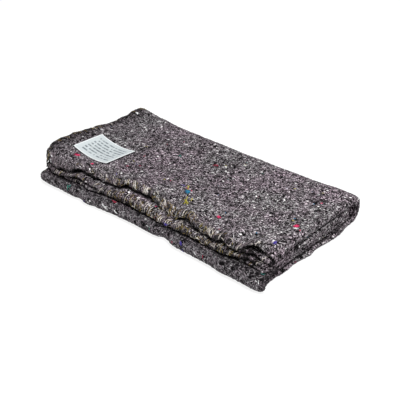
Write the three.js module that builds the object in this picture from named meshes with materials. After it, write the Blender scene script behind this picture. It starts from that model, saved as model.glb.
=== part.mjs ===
// A thick felt pet blanket, folded in half across its length and then in four along its width, with a label.
// X runs along the folded length, -Y is the side with the hemmed edges, +Y is the spine, and Z is up.
import * as THREE from "three";

// Driving dimensions in millimetres.
const PLY = 4.5;
const EDGE_SLACK = 70;
const LABEL_LENGTH = 90;
const LABEL_WIDTH = 64;
const LABEL_THICK = 1;
const LABEL_X = -172;
const LABEL_Y = -33;
const LABEL_TURN = -0.045;
const LABEL_GAP = 0.7;

// How finely the surfaces are cut. Panels and bends are in the order the cloth runs: the top, bottom, lower and
// upper panels, with the spine, the front fold and the inner spine between them. Steps crowd towards the folded
// end and towards the hems.
const LEG_STEPS = 34;
const LEG_CROWDING = 1.25;
const CROSS_FOLD_STEPS = 4;
const PANEL_STEPS = [11, 2, 2, 4];
const BEND_STEPS = [6, 5, 4];
const TOP_HEM_CROWDING = 1.2;
const UPPER_HEM_CROWDING = 1.5;
const LABEL_STEPS_ALONG = 8;
const LABEL_STEPS_ACROSS = 5;

// Air in the stack at points along it. A unit is two plies: bottom, lower, upper and top name the air inside
// each unit from the floor up, and low, middle and high name the air between one unit and the next.
const SECTIONS = [
  { x: -250, bottom: 1.6, low: 2.0, lower: 2.2, middle: 2.4, upper: 2.6, high: 3.6, top: 3.0 },
  { x: -200, bottom: 1.2, low: 1.6, lower: 1.4, middle: 1.4, upper: 1.6, high: 2.4, top: 2.2 },
  { x: -150, bottom: 1.1, low: 1.5, lower: 1.1, middle: 1.0, upper: 1.3, high: 2.1, top: 1.9 },
  { x: 20, bottom: 1.0, low: 1.5, lower: 1.0, middle: 1.0, upper: 1.2, high: 2.0, top: 1.3 },
  { x: 140, bottom: 1.0, low: 1.5, lower: 1.0, middle: 1.0, upper: 1.2, high: 2.0, top: 1.3 },
  { x: 200, bottom: 1.2, low: 1.8, lower: 1.2, middle: 1.1, upper: 1.4, high: 2.3, top: 1.5 },
  { x: 250, bottom: 1.2, low: 2.0, lower: 1.1, middle: 0.9, upper: 1.2, high: 2.2, top: 1.6 },
];

// How far forward each of the four hemmed edges comes, counted from the top ply down.
const FRONT_EDGES = [
  { x: -250, first: -96, second: -98, third: -104, fourth: -108 },
  { x: -205, first: -116, second: -117, third: -118, fourth: -117 },
  { x: -170, first: -118, second: -118, third: -120, fourth: -119 },
  { x: -147, first: -106, second: -108, third: -113, fourth: -113 },
  { x: -95, first: -99, second: -102, third: -112, fourth: -118 },
  { x: -40, first: -94, second: -97, third: -108, fourth: -110 },
  { x: 10, first: -95, second: -98, third: -110, fourth: -110 },
  { x: 60, first: -101, second: -103, third: -114, fourth: -117 },
  { x: 120, first: -108, second: -109, third: -113, fourth: -113 },
  { x: 175, first: -115, second: -116, third: -118, fourth: -117 },
  { x: 203, first: -115, second: -115, third: -115, fourth: -113 },
  { x: 228, first: -103, second: -103, third: -106, fourth: -109 },
  { x: 250, first: -90, second: -91, third: -95, fourth: -100 },
];

// Arches in the hemmed edges: where each stands, its half width, and how high each edge rises in it.
const EDGE_ARCHES = [
  { x: -146, half: 28, first: 9, second: 7.5, third: 4.5, fourth: 1 },
  { x: -22, half: 54, first: 7, second: 6, third: 2, fourth: 0.5 },
  { x: 94, half: 22, first: 6, second: 4.5, third: 2, fourth: 1 },
  { x: 174, half: 18, first: 9, second: 7.5, third: 2, fourth: 0 },
  { x: 226, half: 27, first: 10.5, second: 9, third: 6, fourth: 2.5 },
];

// Places where the stack settles or rises: the spread, the rise at the top ply, and the power of height by
// which the plies below share in it, so that 1 presses all plies alike and 2 acts most on the upper ones.
const SOFT_SPOTS = [
  { x: -250, y: -114, spreadX: 30, spreadY: 24, power: 2, rise: -12 },
  { x: 256, y: -112, spreadX: 20, spreadY: 40, power: 1, rise: -13 },
  { x: -235, y: 132, spreadX: 60, spreadY: 40, power: 2, rise: 3.5 },
  { x: -252, y: -45, spreadX: 30, spreadY: 34, power: 2, rise: 2 },
  { x: -252, y: 52, spreadX: 26, spreadY: 28, power: 2, rise: -4 },
  { x: -120, y: 70, spreadX: 60, spreadY: 50, power: 2, rise: 1 },
  { x: 60, y: 20, spreadX: 70, spreadY: 50, power: 2, rise: -1.2 },
  { x: 190, y: -60, spreadX: 50, spreadY: 40, power: 2, rise: 1.2 },
];

// Outermost line of the front fold.
const FRONT_FOLD = [
  { x: -250, y: -124 },
  { x: -215, y: -132.5 },
  { x: -145, y: -131.3 },
  { x: -130, y: -128.8 },
  { x: -110, y: -133 },
  { x: -92, y: -129.6 },
  { x: -40, y: -126 },
  { x: 45, y: -127.4 },
  { x: 62, y: -122.5 },
  { x: 92, y: -131.2 },
  { x: 150, y: -132 },
  { x: 195, y: -135 },
  { x: 248, y: -135 },
  { x: 262, y: -131 },
];

// Outermost line of the spine.
const SPINE = [
  { x: -250, y: 147 },
  { x: -200, y: 144.5 },
  { x: -140, y: 141 },
  { x: -60, y: 139 },
  { x: 100, y: 138 },
  { x: 170, y: 139.5 },
  { x: 205, y: 142 },
  { x: 250, y: 139 },
];

// Where the inner of the two nested spine folds turns.
const INNER_SPINE = [
  { x: -250, y: 108 },
  { x: 150, y: 113 },
  { x: 215, y: 106 },
  { x: 250, y: 96 },
];

// Ends of the stack along the folded path. Turns count from 0 at the top hem, 1 at the spine, 2 at the front
// fold and 3 at the inner spine to 4 at the upper hem. The left end is two free plies, the right end a fold.
const BEND_TURNS = 0.1;
const ENDS = [
  { turns: 0, leftA: -244, leftB: -243, right: 256 },
  { turns: 0.13, leftA: -256, leftB: -252, right: 254 },
  { turns: 0.35, leftA: -250, leftB: -247, right: 250 },
  { turns: 0.68, leftA: -244, leftB: -241, right: 249 },
  { turns: 1, leftA: -248, leftB: -244, right: 246 },
  { turns: 1.3, leftA: -247, leftB: -250, right: 253 },
  { turns: 1.85, leftA: -245, leftB: -247, right: 253 },
  { turns: 2, leftA: -234, leftB: -237, right: 261 },
  { turns: 2.5, leftA: -245, leftB: -248, right: 249 },
  { turns: 3, leftA: -248, leftB: -245, right: 245 },
  { turns: 3.85, leftA: -247, leftB: -251, right: 251 },
  { turns: 4, leftA: -238, leftB: -238, right: 253 },
];

const TOP = 0;
const LOWER = 2;
const UPPER = 3;

const mix = (a, b, t) => a + (b - a) * t;

// An even blend from 0 to 1 that starts and ends level.
function smooth(t) {
  const s = Math.min(1, Math.max(0, t));
  return s * s * (3 - 2 * s);
}

// A round hump: 1 in the middle, 0 beyond its half width.
function hump(distance, half) {
  return Math.abs(distance) < half ? 0.5 + 0.5 * Math.cos((Math.PI * distance) / half) : 0;
}

// One column of a table, blended between its rows.
function tableAt(rows, key, at, column) {
  const after = rows.findIndex((row) => row[key] > at);
  if (after === 0) return rows[0][column];
  if (after < 0) return rows[rows.length - 1][column];
  const low = rows[after - 1];
  const high = rows[after];
  return mix(low[column], high[column], smooth((at - low[key]) / (high[key] - low[key])));
}

// The four faces of one unit of two plies, from its underside up.
const unit = (base, air) => [base, base + PLY, base + PLY + air, base + 2 * PLY + air];

// Heights of the four faces in each unit, in the order the cloth runs. Face 0 is always the same side of the
// cloth, so it is the upper side of the top and lower units and the underside of the other two.
function levels(x) {
  const air = (name) => tableAt(SECTIONS, "x", x, name);
  const bottom = unit(0, air("bottom"));
  const lower = unit(bottom[3] + air("low"), air("lower"));
  const upper = unit(lower[3] + air("middle"), air("upper"));
  const top = unit(upper[3] + air("high"), air("top"));
  return [top.reverse(), bottom, lower.reverse(), upper];
}

// The hemmed edge that a face of the top or upper unit ends in.
function hemOf(panel, face) {
  if (panel === TOP) return face < 2 ? "first" : "second";
  return face < 2 ? "fourth" : "third";
}

function archLift(x, hem) {
  return EDGE_ARCHES.reduce((sum, arch) => sum + arch[hem] * hump(x - arch.x, arch.half), 0);
}

// A height after the soft spots, which leave the floor side where it is.
function settled(x, y, z, height) {
  return SOFT_SPOTS.reduce((sum, spot) => {
    const along = (x - spot.x) / spot.spreadX;
    const across = (y - spot.y) / spot.spreadY;
    return sum + spot.rise * Math.exp(-along * along - across * across) * (z / height) ** spot.power;
  }, z);
}

// A point of one face: station names a panel or a bend and how far along it the point lies.
function facePoint(x, station, face) {
  const z = levels(x);
  const height = z[TOP][0];
  const backY = tableAt(SPINE, "x", x, "y") - height / 2;
  const frontY = tableAt(FRONT_FOLD, "x", x, "y") + z[LOWER][0] / 2;
  const innerY = tableAt(INNER_SPINE, "x", x, "y");
  let pointY;
  let pointZ;
  if (station.bend === undefined) {
    const { panel, t } = station;
    const hem = hemOf(panel, face);
    const reach = tableAt(FRONT_EDGES, "x", x, hem);
    const starts = [reach, backY, frontY, innerY];
    const ends = [backY, frontY, innerY, reach];
    pointY = mix(starts[panel], ends[panel], t);
    pointZ = z[panel][face];
    if (panel === TOP || panel === UPPER) pointZ += archLift(x, hem) * smooth(1 - (pointY - reach) / EDGE_SLACK);
  } else {
    const { bend, t } = station;
    const from = z[bend][face];
    const to = z[bend + 1][face];
    const centreY = [backY, frontY, innerY][bend];
    const outward = bend === 1 ? -1 : 1;
    pointY = centreY + outward * Math.abs(from - to) * 0.5 * Math.sin(Math.PI * t);
    pointZ = mix(from, to, 0.5 - 0.5 * Math.cos(Math.PI * t));
  }
  return new THREE.Vector3(x, pointY, settled(x, pointY, pointZ, height));
}

// Stations along the folded path, each with its count of turns.
function stationList() {
  const list = [];
  PANEL_STEPS.forEach((steps, panel) => {
    const start = panel === TOP ? panel : panel + BEND_TURNS;
    const end = panel === UPPER ? panel + 1 : panel + 1 - BEND_TURNS;
    for (let i = 0; i <= steps; i += 1) {
      let t = i / steps;
      if (panel === TOP) t = t ** TOP_HEM_CROWDING;
      if (panel === UPPER) t = 1 - (1 - t) ** UPPER_HEM_CROWDING;
      list.push({ panel, t, turns: mix(start, end, t) });
    }
    for (let i = 1; i < BEND_STEPS[panel]; i += 1) {
      const t = i / BEND_STEPS[panel];
      list.push({ bend: panel, t, turns: mix(end, end + 2 * BEND_TURNS, t) });
    }
  });
  return list;
}

// Half the thickness of the unit at a station.
function halfUnit(x, station) {
  const z = levels(x);
  const half = (panel) => Math.abs(z[panel][0] - z[panel][3]) / 2;
  if (station.bend === undefined) return half(station.panel);
  return mix(half(station.bend), half(station.bend + 1), station.t);
}

// One skin of the cross fold at a station: along ply A from its left end, round the fold, and back along ply B.
function skinAt(station, faceA, faceB, depth) {
  const end = (column) => tableAt(ENDS, "turns", station.turns, column);
  const half = halfUnit(end("right"), station);
  const turnX = end("right") - half;
  const leg = (left, face) => {
    const points = [];
    for (let i = 0; i <= LEG_STEPS; i += 1) {
      const fromFold = (1 - i / LEG_STEPS) ** LEG_CROWDING;
      points.push(facePoint(mix(turnX, left, fromFold), station, face));
    }
    return points;
  };
  const legA = leg(end("leftA"), faceA);
  const legB = leg(end("leftB"), faceB).reverse();
  const fold = [];
  for (let k = 1; k < CROSS_FOLD_STEPS; k += 1) {
    const angle = (Math.PI * k) / CROSS_FOLD_STEPS;
    const point = legA[LEG_STEPS].clone().lerp(legB[0], 0.5 - 0.5 * Math.cos(angle));
    point.x += (half - depth) * Math.sin(angle);
    fold.push(point);
  }
  return [...legA, ...fold, ...legB];
}

// Two matching grids of points, a thickness apart, closed round their rim into one body.
function closedSheet(outer, inner) {
  const rows = outer.length;
  const columns = outer[0].length;
  const positions = [...outer.flat(), ...inner.flat()].flatMap((p) => [p.x, p.y, p.z]);
  const out = (r, c) => r * columns + c;
  const inn = (r, c) => rows * columns + out(r, c);
  const faces = [];
  const quad = (a, b, c, d) => faces.push(a, b, c, a, c, d);
  for (let r = 0; r + 1 < rows; r += 1) {
    for (let c = 0; c + 1 < columns; c += 1) {
      quad(out(r, c), out(r, c + 1), out(r + 1, c + 1), out(r + 1, c));
      quad(inn(r, c), inn(r + 1, c), inn(r + 1, c + 1), inn(r, c + 1));
    }
    quad(out(r, 0), out(r + 1, 0), inn(r + 1, 0), inn(r, 0));
    quad(out(r + 1, columns - 1), out(r, columns - 1), inn(r, columns - 1), inn(r + 1, columns - 1));
  }
  for (let c = 0; c + 1 < columns; c += 1) {
    quad(out(0, c + 1), out(0, c), inn(0, c), inn(0, c + 1));
    quad(out(rows - 1, c), out(rows - 1, c + 1), inn(rows - 1, c + 1), inn(rows - 1, c));
  }
  const geometry = new THREE.BufferGeometry();
  geometry.setAttribute("position", new THREE.Float32BufferAttribute(positions, 3));
  geometry.setIndex(faces);
  geometry.computeVertexNormals();
  return geometry;
}

function blanketGeometry() {
  const stations = stationList();
  const outer = stations.map((station) => skinAt(station, 0, 3, 0));
  const inner = stations.map((station) => skinAt(station, 1, 2, PLY));
  return closedSheet(outer, inner);
}

// The height of the top ply's upper side.
function topHeight(x, y) {
  const height = levels(x)[TOP][0];
  const reach = tableAt(FRONT_EDGES, "x", x, "first");
  const lift = archLift(x, "first") * smooth(1 - (y - reach) / EDGE_SLACK);
  return settled(x, y, height + lift, height);
}

// A thin label that lies on the top ply and follows its dip.
function labelGeometry() {
  const layer = (lift) => {
    const grid = [];
    for (let r = 0; r <= LABEL_STEPS_ACROSS; r += 1) {
      const row = [];
      for (let c = 0; c <= LABEL_STEPS_ALONG; c += 1) {
        const along = (c / LABEL_STEPS_ALONG - 0.5) * LABEL_LENGTH;
        const across = (r / LABEL_STEPS_ACROSS - 0.5) * LABEL_WIDTH;
        const x = LABEL_X + along * Math.cos(LABEL_TURN) - across * Math.sin(LABEL_TURN);
        const y = LABEL_Y + along * Math.sin(LABEL_TURN) + across * Math.cos(LABEL_TURN);
        row.push(new THREE.Vector3(x, y, topHeight(x, y) + lift));
      }
      grid.push(row);
    }
    return grid;
  };
  return closedSheet(layer(LABEL_GAP + LABEL_THICK), layer(LABEL_GAP));
}

const felt = new THREE.MeshStandardMaterial({ color: 0x706a6e, roughness: 0.95, metalness: 0 });
const labelCloth = new THREE.MeshStandardMaterial({ color: 0xe2e6e8, roughness: 0.6, metalness: 0 });

const blanket = new THREE.Mesh(blanketGeometry(), felt);
blanket.name = "blanket";
const label = new THREE.Mesh(labelGeometry(), labelCloth);
label.name = "label";

const part = new THREE.Group();
part.add(blanket, label);
export default part;
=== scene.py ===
"""A folded felt pet blanket with a label, dressed over its CAD solids.

X runs along the folded length, -Y is the side with the hems, +Y is the spine, and Z is up.
Sizes are in millimetres until a mesh is made, which is in metres.
"""

import math
from typing import NamedTuple

import bpy
import numpy as np
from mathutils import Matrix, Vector


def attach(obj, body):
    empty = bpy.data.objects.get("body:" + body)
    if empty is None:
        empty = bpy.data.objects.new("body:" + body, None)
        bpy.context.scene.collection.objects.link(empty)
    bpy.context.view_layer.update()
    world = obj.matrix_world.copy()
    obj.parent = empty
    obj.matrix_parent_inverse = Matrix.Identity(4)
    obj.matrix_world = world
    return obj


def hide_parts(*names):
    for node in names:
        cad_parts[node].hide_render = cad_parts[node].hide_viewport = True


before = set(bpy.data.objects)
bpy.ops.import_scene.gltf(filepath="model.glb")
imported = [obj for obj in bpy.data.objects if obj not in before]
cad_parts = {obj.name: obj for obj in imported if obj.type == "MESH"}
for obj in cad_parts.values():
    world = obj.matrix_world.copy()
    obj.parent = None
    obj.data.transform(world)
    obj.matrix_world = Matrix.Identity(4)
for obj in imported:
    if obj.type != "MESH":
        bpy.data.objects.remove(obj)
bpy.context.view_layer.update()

MM = 0.001
FAR = 1e3
TINY = 1e-9
WHITE = (1, 1, 1, 1)
random = np.random.default_rng(27)


def columns(names, *rows):
    """A table as one array for each named column."""
    return dict(zip(names.split(), np.array(rows, float).T))


# Sizes of the cloth and its label.
PLY = 4.5
EDGE_SLACK = 70
BEND_TURNS = 0.1
LABEL_LENGTH = 90
LABEL_WIDTH = 64
LABEL_THICK = 0.7
LABEL_X = -172
LABEL_Y = -33
LABEL_TURN = -0.045
LABEL_GAP = 0.4
LABEL_EDGE_GAP = 2.2
LABEL_EDGE = 14

# Heights of the label's corners, and how far it sags between its two ends.
LABEL_HEIGHTS = {"left_front": 50.0, "left_back": 51.0, "right_front": 47.2, "right_back": 48.2}
LABEL_SAG = 6.2

# Air in the stack along its length. A unit is two plies: bottom, lower, upper and top name the air inside
# each unit from the floor up, and low, middle and high name the air between one unit and the next.
SECTIONS = columns(
    "x bottom low lower middle upper high top",
    (-250, 2.0, 2.4, 2.6, 2.4, 2.6, 2.0, 3.4),
    (-200, 1.2, 1.6, 1.4, 1.4, 1.6, 2.4, 2.2),
    (-150, 1.1, 1.5, 1.1, 1.0, 1.3, 2.1, 1.9),
    (20, 1.0, 1.5, 1.0, 1.0, 1.2, 2.0, 1.3),
    (140, 1.0, 1.5, 1.0, 1.0, 1.2, 2.0, 1.3),
    (200, 1.2, 1.8, 1.2, 1.1, 1.4, 2.3, 1.5),
    (250, 1.2, 2.0, 1.1, 0.9, 1.2, 2.2, 1.6),
)

# How far forward each of the four hems comes, counted from the top ply down.
FRONT_EDGES = columns(
    "x first second third fourth",
    (-258, -105, -104, -100, -104),
    (-238, -109, -108, -110, -114),
    (-205, -116, -117, -121, -120),
    (-170, -118, -118, -123, -122),
    (-147, -106, -108, -117, -118),
    (-95, -99, -102, -116, -121),
    (-40, -94, -97, -113, -115),
    (10, -95, -98, -114.5, -114),
    (60, -101, -103, -117, -119),
    (120, -108, -109, -116, -115),
    (175, -115, -116, -119.5, -118),
    (203, -115, -115, -117, -115),
    (228, -103, -106, -111, -114),
    (250, -91, -98, -105, -110),
)

# Arches in the hems: the middle, the half width, and how high each hem rises there.
EDGE_ARCHES = columns(
    "x half first second third fourth",
    (-146, 28, 7.5, 7, 4.5, 1),
    (-50, 18, 9, 8, 5.5, 5),
    (-8, 60, 10, 9, 8.5, 8),
    (94, 24, 10, 9, 7.5, 7),
    (174, 18, 9, 7.5, 7.5, 7),
    (228, 27, 11.5, 3.5, 0.5, 0),
)

# Places where the stack settles or rises. The plies share in it by a power of their height, in full from the
# named share of the stack's height upwards.
SOFT_SPOTS = columns(
    "x y spread_x spread_y power full rise",
    (-256, -112, 26, 21, 1, 0.5, -18.5),
    (-205, -122, 20, 18, 1.5, 1, -7.5),
    (256, -112, 20, 40, 1.5, 1, -19),
    (-235, 132, 60, 40, 2, 1, 1.2),
    (-252, -45, 30, 34, 2, 1, 2),
    (-252, 52, 26, 28, 2, 1, -4),
    (-120, 70, 60, 50, 2, 1, 1),
    (60, 20, 70, 50, 2, 1, -1.2),
    (190, -60, 50, 40, 2, 1, 1.2),
    (-172, -33, 46, 44, 3, 1, -2.6),
)

# Places where only the middle of the stack is pressed down.
MIDDLE_SPOTS = columns("x y spread_x spread_y rise", (262, -30, 24, 80, -6.5))

# Outermost lines of the front fold and the spine, and the line where the inner spine turns.
FRONT_FOLD = columns(
    "x y",
    (-250, -124),
    (-215, -132.5),
    (-145, -131.3),
    (-130, -128.8),
    (-110, -133),
    (-92, -129.6),
    (-40, -126),
    (45, -127.4),
    (62, -122.5),
    (92, -131.2),
    (150, -132),
    (195, -135),
    (248, -136.5),
    (262, -132.5),
)
SPINE = columns(
    "x y",
    (-250, 147),
    (-200, 144.5),
    (-140, 141),
    (-60, 139),
    (100, 138),
    (170, 139.5),
    (205, 142),
    (250, 139),
)
INNER_SPINE = columns("x y", (-250, 108), (150, 113), (215, 106), (250, 96))

# Ends of the stack by turns along the folded path, from 0 at the top hem to 4 at the upper hem: the free left
# ends of the two plies, and the fold at the right.
ENDS = columns(
    "turns left_a left_b right",
    (0, -238.7, -238, 254),
    (0.017, -243.4, -241.5, 254),
    (0.044, -253.2, -247, 254),
    (0.059, -255.6, -250, 254),
    (0.073, -252.5, -249.5, 254),
    (0.087, -254.5, -250, 254),
    (0.13, -255, -250.5, 253),
    (0.35, -253, -246, 250),
    (0.68, -247, -239, 248.5),
    (0.88, -249, -243, 247),
    (1, -250, -246, 244),
    (1.15, -249, -248, 246.5),
    (1.27, -247, -250, 253.5),
    (1.37, -247, -250, 252.5),
    (1.44, -246, -249, 249.5),
    (1.51, -246, -249, 253.5),
    (1.61, -246, -248, 250.5),
    (1.71, -245, -247, 254),
    (1.79, -245, -247, 252),
    (1.85, -245, -247, 255),
    (1.91, -241, -243.5, 260),
    (2, -234, -237, 264),
    (2.15, -243, -246, 252),
    (2.5, -245, -248, 248.5),
    (2.85, -247, -246, 247),
    (3, -248, -245, 243),
    (3.2, -248, -246, 249),
    (3.6, -247, -249, 252),
    (3.85, -245, -246, 252),
    (4, -238, -239, 251),
)

# Soft creases in the top ply: where each starts and ends, its half width and its height.
CREASES = columns(
    "x0 y0 x1 y1 width height",
    (70, -36, 71, -74, 5, -1.4),
    (52, -44, 60, -86, 7, 0.9),
    (-155, -78, -98, -62, 6, 1.0),
    (-150, -92, -90, -76, 7, -1.0),
    (-226, -70, -222, 10, 9, -1.1),
    (-206, 30, -150, 82, 13, -1.0),
    (-110, -50, -60, -84, 9, -0.9),
    (-40, -60, 25, -72, 10, 0.8),
    (96, -52, 128, -84, 9, -1.2),
    (150, -46, 160, -98, 8, -1.3),
    (196, -30, 204, -98, 9, -1.4),
    (214, -40, 232, -92, 12, 1.3),
    (30, 52, 110, 20, 16, -0.8),
    (120, 96, 205, 84, 14, -0.7),
    (-90, 96, 10, 112, 15, 0.7),
    (176, 10, 232, -18, 12, 0.7),
)

# How finely the cloth is cut. The rows follow the cloth: top, bottom, lower and upper panels, with the spine,
# the front fold and the inner spine between them. The columns run along one ply, round the fold at the right
# end and back along the other ply. Rows and columns crowd at the cut edges.
LEG_COLUMNS = 146
FOLD_COLUMNS = 10
PANEL_ROWS = (62, 18, 6, 18)
BEND_ROWS = (14, 13, 6)
ROUND_STEPS = (0, 0.25, 0.8, 1.6, 2.6)
ROUND_END = 4.0
PANEL_SPAN = 240
LEG = len(ROUND_STEPS) + LEG_COLUMNS
FOLD = slice(LEG, LEG + FOLD_COLUMNS - 1)

# The cut edges are round, with this share of the ply left at the rim, and pinched by their stitches.
EDGE_ROUND = 2.4
EDGE_LEAST = 0.3
EDGE_PINCH = 11
EDGE_PINCHED = 0.22

TOP, BOTTOM, LOWER, UPPER = range(4)
SPINE_BEND, FRONT_BEND = range(2)
FRONT_TURNS = 2
HEMS = ("first", "second", "third", "fourth")


class Station(NamedTuple):
    """One row of the cloth: its panel or bend and how far through that it is, or how near to a hem."""

    turns: float
    panel: int = None
    bend: int = None
    t: float = None
    near: float = None


def mix(a, b, t):
    return a + (b - a) * t


def smooth(t):
    """An even blend from 0 to 1 that starts and ends level."""
    s = np.clip(t, 0, 1)
    return s * s * (3 - 2 * s)


def hump(distance, half):
    """1 in the middle, falling evenly to 0 at the half width."""
    return np.where(np.abs(distance) < half, 0.5 + 0.5 * np.cos(np.pi * distance / half), 0)


def bow(t):
    """0 at both ends and 1 in the middle."""
    return 4 * t * (1 - t)


def table_at(table, at, column):
    """One column of a table, blended between its rows by its first column."""
    keys = next(iter(table.values()))
    after = np.clip(np.searchsorted(keys, at, side="right"), 1, len(keys) - 1)
    share = smooth((at - keys[after - 1]) / (keys[after] - keys[after - 1]))
    return mix(table[column][after - 1], table[column][after], share)


def unit(base, air):
    """The four faces of one unit of two plies, from its underside up."""
    return [base, base + PLY, base + PLY + air, base + 2 * PLY + air]


def levels(x):
    """Heights of the four faces in each unit, in the order the cloth runs."""

    def air(name):
        return table_at(SECTIONS, x, name)

    bottom = unit(0 * x, air("bottom"))
    lower = unit(bottom[3] + air("low"), air("lower"))
    upper = unit(lower[3] + air("middle"), air("upper"))
    top = unit(upper[3] + air("high"), air("top"))
    return [top[::-1], bottom, lower[::-1], upper]


def hem_of(panel, face):
    """The hem that a face of the top or upper unit ends in."""
    if panel == TOP:
        return "first" if face < 2 else "second"
    return "fourth" if face < 2 else "third"


def arch_lift(x, hem):
    """How far the arches lift a hem."""
    lift = 0 * x
    for middle, half, rise in zip(EDGE_ARCHES["x"], EDGE_ARCHES["half"], EDGE_ARCHES[hem]):
        lift = lift + rise * hump(x - middle, half)
    return lift


# Small waves that run along the hems: their length, and their height in the top and the upper unit.
HEM_WAVES = columns(
    "length shift top upper",
    (23, 0.4, 0.55, 0.3),
    (37, 2.1, 0.7, 0.4),
    (14.5, 4.4, 0.3, 0.2),
)
HEM_WAVE_SHIFT = 1.3
HEM_WAVE_DEPTH = 26

# Unevenness of the hems' reach: the length and height of each wave, and its shift from hem to hem.
HEM_UNEVEN = ((19, 0.8, 1.7), (47, 0.56, 2.6))

# Unevenness of the cut ends: the millimetres to a radian of each wave, its height and its shift.
END_UNEVEN = ((4.1, 0.9, 0), (7.3, 0.72, 1))


def unit_name(panel):
    return "top" if panel == TOP else "upper"


def hem_wave(x, panel):
    wave = 0 * x
    for length, shift, height in zip(HEM_WAVES["length"], HEM_WAVES["shift"], HEM_WAVES[unit_name(panel)]):
        wave = wave + height * np.sin(2 * np.pi * x / length + shift + HEM_WAVE_SHIFT * panel)
    return wave


# How far the two plies of a unit are pressed together along their hems, from 0 to 1.
HEMS_PRESSED = columns(
    "x top upper",
    (-250, 1, 0.8),
    (-185, 1, 0.6),
    (-158, 1, 0),
    (-105, 1, 0),
    (-80, 1, 0.9),
    (180, 1, 0.9),
    (194, 1, 0.6),
    (210, 0, 0),
    (250, 0, 0),
)
PRESSED_DEPTH = 45
PRESSED_AIR = 0.35

# Where the plies are pressed together, the upper one's edge rolls down over the lower one's, which stops
# short. In the upper unit it rolls further where its arches lift it, down to where it would be without them.
# Each covered hem is listed with the hem that lies over it and their panel.
LIP_DEPTH = 12
LIP_COVER = 6.5
LIP_DROP = 4.8
UPPER_DROP = 1.5
COVERED = {"second": ("first", TOP), "fourth": ("third", UPPER)}

# Where the top hem lies down on the hem below it, and how much further it rolls down there.
HEM_CLOSED = columns(
    "x share",
    (-260, 0),
    (10, 0),
    (22, 1),
    (66, 1),
    (80, 0),
    (260, 0),
)
CLOSED_DROP = 3.6

# The top ply rolls down along its cut end, up to where the spine begins. At the front corner, up to so many
# turns from the hem, both of the top unit's plies hang down further.
END_LIP_DEPTH = 9
END_LIP_DROP = {"left_a": 1.5, "left_b": 0}
END_LIP_FADE = 0.2
HANG_DROP = {"left_a": 10, "left_b": 9}
HANG_TURNS = 0.115


def pressed(x, panel):
    return table_at(HEMS_PRESSED, x, unit_name(panel))


def hem_closed(x):
    return table_at(HEM_CLOSED, x, "share")


def rolled(distance):
    """The fall of a quarter circle from 1 at the edge to 0 at a distance of 1."""
    share = np.clip(1 - distance, 0, 1)
    return 1 - np.sqrt(1 - share * share)


def lip_drop(x, panel, from_hem):
    """How far the upper ply of a unit has rolled down, this far from its edge."""
    if panel == TOP:
        drop = LIP_DROP + CLOSED_DROP * hem_closed(x)
    else:
        drop = LIP_DROP + UPPER_DROP + arch_lift(x, "fourth")
    return drop * pressed(x, panel) * rolled(from_hem / LIP_DEPTH)


def end_lip_drop(from_end, turns, ply):
    """How far one of the two top plies has come down, this far from its cut end."""
    drop = END_LIP_DROP[ply] * smooth((1 - BEND_TURNS - turns) / END_LIP_FADE)
    drop = drop + HANG_DROP[ply] * smooth(1 - turns / HANG_TURNS)
    return drop * rolled(from_end / END_LIP_DEPTH)


def reach_of(x, hem):
    """How far forward a hem comes, with its small unevenness."""
    reach = table_at(FRONT_EDGES, x, hem)
    if hem in COVERED:
        over, panel = COVERED[hem]
        reach = mix(reach, table_at(FRONT_EDGES, x, over) + LIP_COVER, pressed(x, panel))
    for length, height, shift in HEM_UNEVEN:
        reach = reach + height * np.sin(2 * np.pi * x / length + shift * HEMS.index(hem))
    return reach


def spot_share(x, y, spot_x, spot_y, spread_x, spread_y):
    """1 in the middle of a spot, fading out over its spread."""
    along = (x - spot_x) / spread_x
    across = (y - spot_y) / spread_y
    return np.exp(-along * along - across * across)


def settled(x, y, z, height):
    """A height after the soft spots, which leave the floor side where it is."""
    total = z
    for *spot, power, full, rise in zip(*SOFT_SPOTS.values()):
        share = np.clip(z / height / full, 0, 1) ** power
        total = total + rise * spot_share(x, y, *spot) * share
    for *spot, rise in zip(*MIDDLE_SPOTS.values()):
        total = total + rise * spot_share(x, y, *spot) * bow(np.clip(z / height, 0, 1))
    return total


def hem_level(x, z, panel, face, from_hem):
    """The height of a face of the top or upper unit, this far from its hem."""
    hem = hem_of(panel, face)
    slack = smooth(1 - from_hem / EDGE_SLACK)
    lift = arch_lift(x, hem) * slack
    level = z[face] + lift
    if face < 2:
        other = z[2] + arch_lift(x, hem_of(panel, 2)) * slack
        air = z[1] + lift - other
        close = pressed(x, panel) * smooth(1 - from_hem / PRESSED_DEPTH)
        level = level - (air - np.sign(air) * PRESSED_AIR) * close
    level = level + hem_wave(x, panel) * smooth(1 - from_hem / HEM_WAVE_DEPTH)
    if hem in ("first", "third"):
        level = level - lip_drop(x, panel, from_hem)
    return level


def face_points(x, station, face):
    """Points of one face at a station, and their distance from its hem."""
    z = levels(x)
    height = z[TOP][0]
    back = table_at(SPINE, x, "y") - height / 2
    front = table_at(FRONT_FOLD, x, "y") + z[LOWER][0] / 2
    inner = table_at(INNER_SPINE, x, "y")
    from_hem = np.full(x.shape, FAR)
    if station.bend is None:
        panel = station.panel
        reach = reach_of(x, hem_of(panel, face))
        starts = (reach + ROUND_END, back, front, inner)
        ends = (back, front, inner, reach + ROUND_END)
        if station.near is None:
            y = mix(starts[panel], ends[panel], station.t)
        else:
            y = reach + station.near
        level = z[panel][face]
        if panel in (TOP, UPPER):
            from_hem = y - reach
            level = hem_level(x, z[panel], panel, face, from_hem)
    else:
        low = z[station.bend][face]
        high = z[station.bend + 1][face]
        outward = -1 if station.bend == FRONT_BEND else 1
        swing = np.abs(low - high) / 2 * math.sin(math.pi * station.t)
        y = (back, front, inner)[station.bend] + outward * swing
        level = mix(low, high, 0.5 - 0.5 * math.cos(math.pi * station.t))
    return np.stack([x, y, settled(x, y, level, height)], -1), from_hem


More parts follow.
